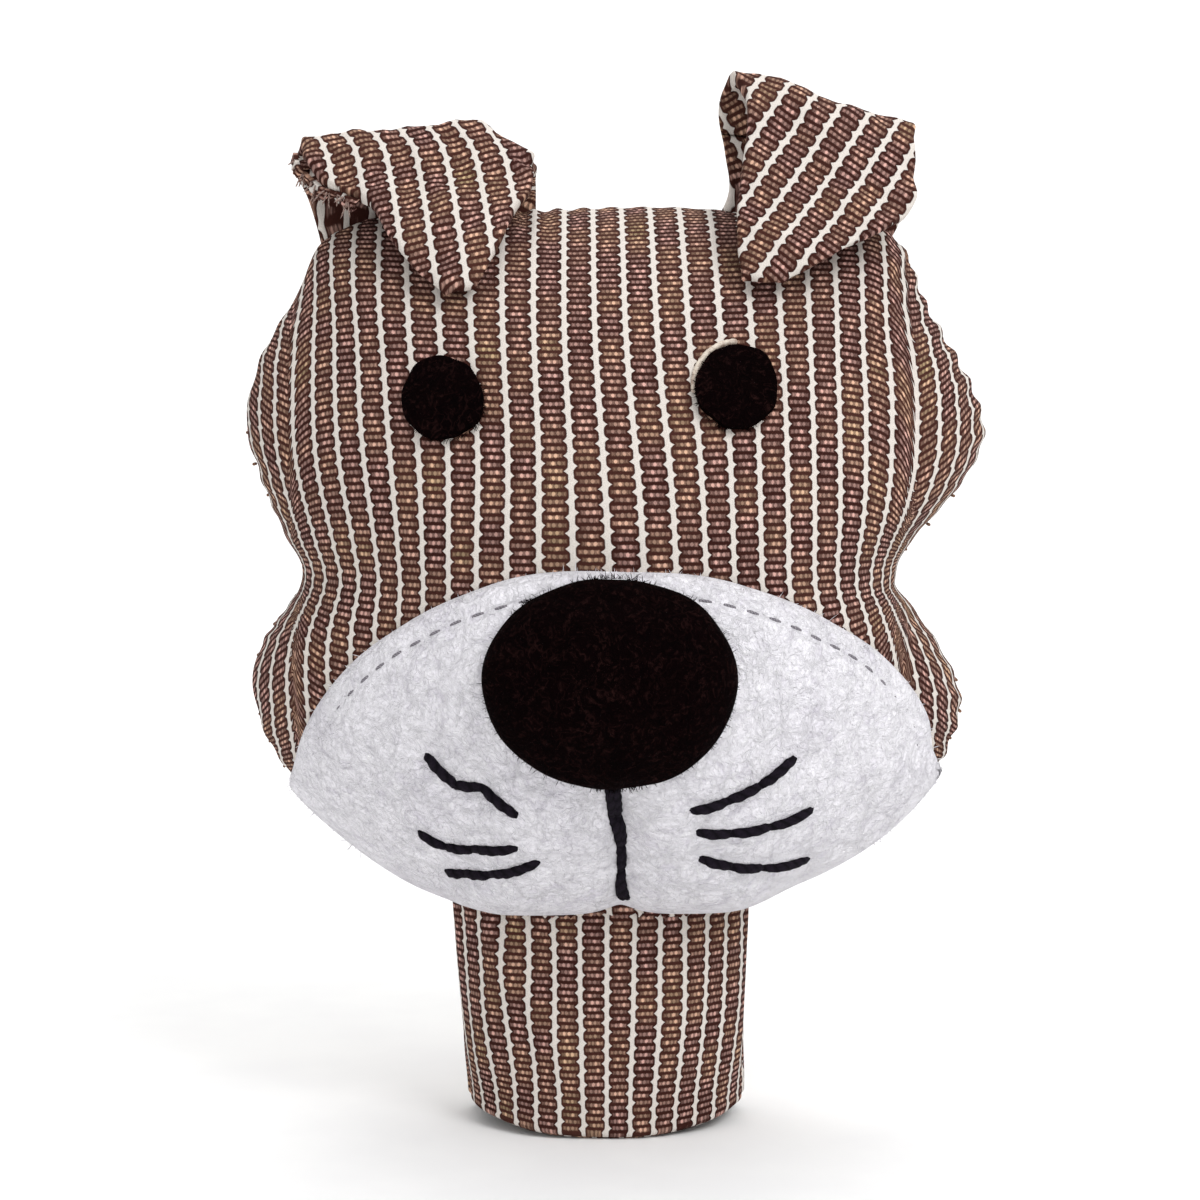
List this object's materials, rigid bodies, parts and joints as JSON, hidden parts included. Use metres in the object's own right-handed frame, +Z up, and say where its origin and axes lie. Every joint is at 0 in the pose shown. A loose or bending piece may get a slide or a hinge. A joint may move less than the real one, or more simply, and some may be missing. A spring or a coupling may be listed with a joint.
{
  "type": "hand puppet",
  "caption": "Finger-size hand puppet: a stuffed animal head of striped woven cloth with folded ears and a felt muzzle, on an open cloth sleeve for one finger.",
  "frame": {"origin": "middle of the finger pocket's mouth, in the plane of the sleeve's hem", "axes": "+Z up the finger from the mouth through the head, the face looks along -Y, +X to the right of someone looking at the face"},
  "size_m": [0.0807, 0.0595, 0.1131],
  "materials": {
    "striped_cloth": "woven, brown flecked bands between cream ribs",
    "lining_cloth": "thin plain weave",
    "white_felt": "matt felt",
    "black_felt": "matt felt",
    "filling": "loose polyester fibre",
    "grey_thread": "twisted sewing thread",
    "black_floss": "stranded embroidery floss",
    "seam_thread": "sewing thread"
  },
  "bodies": {
    "sleeve": {"sleeve_front_panel": "striped_cloth", "sleeve_back_panel": "striped_cloth", "sleeve_lining": "lining_cloth", "sleeve_hem": "striped_cloth", "sleeve_seam_allowances": "lining_cloth", "neck_seam_stitches": "seam_thread"},
    "head": {"head_front_panel": "striped_cloth", "head_back_panel": "striped_cloth", "head_stuffing": "filling", "head_seam_stitches": "seam_thread", "fingertip_pocket": "lining_cloth", "muzzle_felt": "white_felt", "muzzle_stuffing": "filling", "muzzle_topstitching": "grey_thread", "nose_felt": "black_felt", "nose_padding": "filling", "mouth_stitches": "black_floss", "eye_left": "black_felt", "eye_right": "black_felt", "whisker_left_upper": "black_floss", "whisker_left_middle": "black_floss", "whisker_left_lower": "black_floss", "whisker_right_upper": "black_floss", "whisker_right_middle": "black_floss", "whisker_right_lower": "black_floss"},
    "left_ear": {"ear_left_base": "striped_cloth"},
    "left_flap": {"ear_left_flap": "striped_cloth"},
    "right_ear": {"ear_right_base": "striped_cloth"},
    "right_flap": {"ear_right_flap": "striped_cloth"}
  },
  "joints": [
    {"name": "head_nod", "type": "hinge", "parent": "sleeve", "child": "head", "pos_m": [0, 0, 0.0235], "axis": [1, 0, 0], "range_deg": [-15, 20], "stiffness_Nm_per_rad": 0.02},
    {"name": "left_ear_flop", "type": "hinge", "parent": "head", "child": "left_ear", "pos_m": [-0.01914, 0, 0.09845], "axis": [-0.9935, 0, -0.1141], "range_deg": [0, 30], "stiffness_Nm_per_rad": 0.002},
    {"name": "left_flap_lift", "type": "hinge", "parent": "left_ear", "child": "left_flap", "pos_m": [-0.01982, 0, 0.10441], "axis": [-0.9935, 0, -0.1141], "range_deg": [0, 70], "stiffness_Nm_per_rad": 0.001},
    {"name": "right_ear_flop", "type": "hinge", "parent": "head", "child": "right_ear", "pos_m": [0.02229, 0, 0.09837], "axis": [-0.9897, 0, 0.1433], "range_deg": [0, 30], "stiffness_Nm_per_rad": 0.002},
    {"name": "right_flap_lift", "type": "hinge", "parent": "right_ear", "child": "right_flap", "pos_m": [0.02366, 0, 0.10787], "axis": [-0.9897, 0, 0.1433], "range_deg": [0, 70], "stiffness_Nm_per_rad": 0.001}
  ]
}
